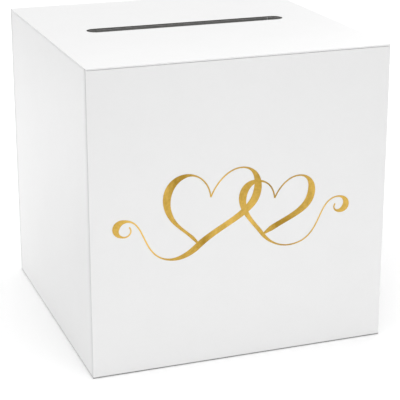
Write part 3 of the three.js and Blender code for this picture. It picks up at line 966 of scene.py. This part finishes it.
class CARDBOX_OT_bend_hinges(bpy.types.Operator):
    """Lay the paper hinges of the lid and of the tuck flap: the scored band and the folded tape"""

    bl_idname = "cardbox.bend_hinges"
    bl_label = "Bend the hinges"

    def execute(self, context):
        sizes = context.scene.cardbox_sizes
        pivot = next(joint["pos_m"] for joint in frame["joints"] if joint["name"] == "lid_hinge")
        self.band(sizes, pivot)
        self.tape()
        return {"FINISHED"}

    def band(self, sizes, pivot):
        """The band over the lid's hinge: a flat strip, set in along the scored line by a bell curve."""
        low, high = BAND
        top = high.z - BAND_SHORT
        near = ramp(-1.2, 1.0, 23) * MM + pivot[2]
        zs = np.concatenate((ramp(low.z, near[0], 9)[:-1], near[near < top], [top]))
        xs = ramp(low.x, high.x, 41)
        groove = sizes.crease_and_seam_shade * np.exp(-((zs - pivot[2]) / SCORE_WIDTH) ** 2)
        grid = flat_grid(-xs, high.y - groove, zs[:, None])
        piece = new_piece("lid_hinge_band_scored", [(grid, None)], finish_named("hinge_paper"))
        thicken(piece, sizes.paper * 0.8)
        pivot[2] - 0.7 * MM
        pivot[2] + 0.7 * MM
        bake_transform(piece)
        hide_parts("lid_hinge_band")

    def tape(self):
        """The flap's tape: one leg along the lid, a small round fold, and one leg down the flap."""
        low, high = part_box("flap_hinge_tape")
        radius = FOLD_RADIUS["flap_tape"]
        turn = ramp(0, QUARTER, 8)
        along = ramp(high.y, low.y + radius, 10)
        down = ramp(high.z - radius, low.z, 10)
        ys = np.concatenate((along, low.y + radius * (1 - np.sin(turn))[1:], np.full(9, low.y)))
        zs = np.concatenate((np.full(10, high.z), high.z - radius * (1 - np.cos(turn))[1:], down[1:]))
        xs = ramp(low.x, high.x, 41)
        grid = flat_grid(xs, ys, zs[:, None])
        piece = new_piece("flap_hinge_tape_folded", [(grid[::-1], None)], finish_named("hinge_paper"))
        thicken(piece, FLAP_TAPE)
        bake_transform(piece)
        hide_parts("flap_hinge_tape")


class CARDBOX_OT_finish_boards(bpy.types.Operator):
    """Give the boards and the sheets of the base their finish"""

    bl_idname = "cardbox.finish_boards"
    bl_label = "Finish the boards"

    def execute(self, context):
        for name in WALLS + ("base", "lid", "flap"):
            soften(paint(f"{name}_board", "greyboard"), 0.12 * MM)
        paint("base_liner", "liner_paper")
        paint("base_cover_sheet", "white_wrap_paper")
        for name in CORNERS:
            paint(f"tape_strip_{name}", "double_sided_tape")
        return {"FINISHED"}


class CARDBOX_OT_finish_metal(bpy.types.Operator):
    """Give the foil ornament, the magnets and their keeper discs their finish"""

    bl_idname = "cardbox.finish_metal"
    bl_label = "Finish foil and discs"

    def execute(self, context):
        paint("foil_ornament", "gold_foil")
        for end in ENDS:
            soften(paint(f"keeper_disc_{end}", "steel"), 0.1 * MM)
            soften(paint(f"flap_magnet_{end}", "nickel_plate"), 0.15 * MM)
        return {"FINISHED"}


class CARDBOX_OT_set_stage(bpy.types.Operator):
    """Set the camera, the floor and the soft studio light"""

    bl_idname = "cardbox.set_stage"
    bl_label = "Set the stage"

    def execute(self, context):
        stage = context.scene.cardbox_stage
        self.camera(context, stage)
        self.floor(context)
        self.lights(context, stage)
        context.scene.view_settings.view_transform = "Standard"
        return {"FINISHED"}

    def camera(self, context, stage):
        """A camera at its place, tilted down by its elevation and turned by its azimuth."""
        data = bpy.data.cameras.new("camera")
        data.lens = stage.lens
        data.shift_y = stage.shift
        data.clip_start = 0.01
        camera = bpy.data.objects.new("camera", data)
        camera.location = stage.location
        camera.rotation_euler = (QUARTER - stage.elevation, 0, stage.azimuth)
        context.scene.collection.objects.link(camera)
        context.scene.camera = camera

    def floor(self, context):
        """A wide flat floor under the box, a hair's breadth below its base."""
        lines = ramp(-FLOOR_HALF, FLOOR_HALF, 25)
        mesh = mesh_of("floor", [(flat_grid(lines, lines, -FLOOR_GAP), None)])
        floor = bpy.data.objects.new("floor", mesh)
        floor.data.materials.append(floor_finish())
        context.scene.collection.objects.link(floor)

    def lights(self, context, stage):
        """Even light from all round, a wide soft light overhead and faint soft lights lower down."""
        world = bpy.data.worlds.new("studio")
        world.use_nodes = True
        world.node_tree.nodes["Background"].inputs["Color"].default_value = (1, 1, 1, 1)
        world.node_tree.nodes["Background"].inputs["Strength"].default_value = stage.sky
        context.scene.world = world
        for name, power, place, aim, width, height, spread in (
            ("overhead", stage.overhead, (-0.3, -0.2, 1.9), (-0.1, -0.1, 0), 1.8, 1.8, 180),
            ("back_fill", stage.back_fill, (1.2, 1.0, 0.9), (0.1, 0, 0.1), 1.0, 0.8, 180),
            ("far_fill", stage.far_fill, (-0.2, 1.5, 1.4), (-0.2, 1.6, 0), 3.0, 1.6, 110),
            ("front_fill", stage.front_fill, (0, -0.6, 0.7), (0, -0.45, 0), 0.5, 0.25, 100),
            ("left_glow", stage.left_glow, (-0.35, 0.35, 0.08), (-0.127, 0.08, 0.03), 0.15, 0.15, 180),
            ("inner_glow", stage.inner_glow, (0, 0, 0.02), (0, 0, 0.2), 0.22, 0.22, 180),
        ):
            data = bpy.data.lights.new(name, "AREA")
            data.energy = power
            data.shape = "RECTANGLE"
            data.size, data.size_y = width, height
            data.spread = math.radians(spread)
            light = bpy.data.objects.new(name, data)
            light.location = place
            light.rotation_euler = (Vector(aim) - Vector(place)).to_track_quat("-Z", "Y").to_euler()
            light.visible_camera = False
            context.scene.collection.objects.link(light)


# ---- panel and registration

STEPS = (
    CARDBOX_OT_set_stage,
    CARDBOX_OT_fold_wraps,
    CARDBOX_OT_lay_liners,
    CARDBOX_OT_fold_tabs,
    CARDBOX_OT_bend_hinges,
    CARDBOX_OT_finish_boards,
    CARDBOX_OT_finish_metal,
)


class CARDBOX_PT_steps(bpy.types.Panel):
    """The steps that make the card box, with its sizes and colours"""

    bl_label = "Card box"
    bl_idname = "CARDBOX_PT_steps"
    bl_space_type = "VIEW_3D"
    bl_region_type = "UI"
    bl_category = "Card box"

    def draw(self, context):
        for group in ("cardbox_sizes", "cardbox_colours", "cardbox_stage"):
            settings = getattr(context.scene, group)
            for name in settings.__annotations__:
                self.layout.prop(settings, name)
        for step in STEPS:
            self.layout.operator(step.bl_idname)


GROUPS = (
    ("cardbox_sizes", CardBoxSizes),
    ("cardbox_colours", CardBoxColours),
    ("cardbox_stage", CardBoxStage),
)


def register():
    """Adds the sizes, colours and stage settings to the scene, and the steps to the sidebar."""
    for name, group in GROUPS:
        bpy.utils.register_class(group)
        setattr(bpy.types.Scene, name, bpy.props.PointerProperty(type=group))
    for made in STEPS + (CARDBOX_PT_steps,):
        bpy.utils.register_class(made)


def unregister():
    """Takes them away again."""
    for made in reversed(STEPS + (CARDBOX_PT_steps,)):
        bpy.utils.unregister_class(made)
    for name, group in reversed(GROUPS):
        delattr(bpy.types.Scene, name)
        bpy.utils.unregister_class(group)


def main():
    """Makes the whole card box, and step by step."""
    register()
    for step in STEPS:
        area, verb = step.bl_idname.split(".")
        getattr(getattr(bpy.ops, area), verb)()
    bpy.context.view_layer.update()


if __name__ == "__main__":
    main()
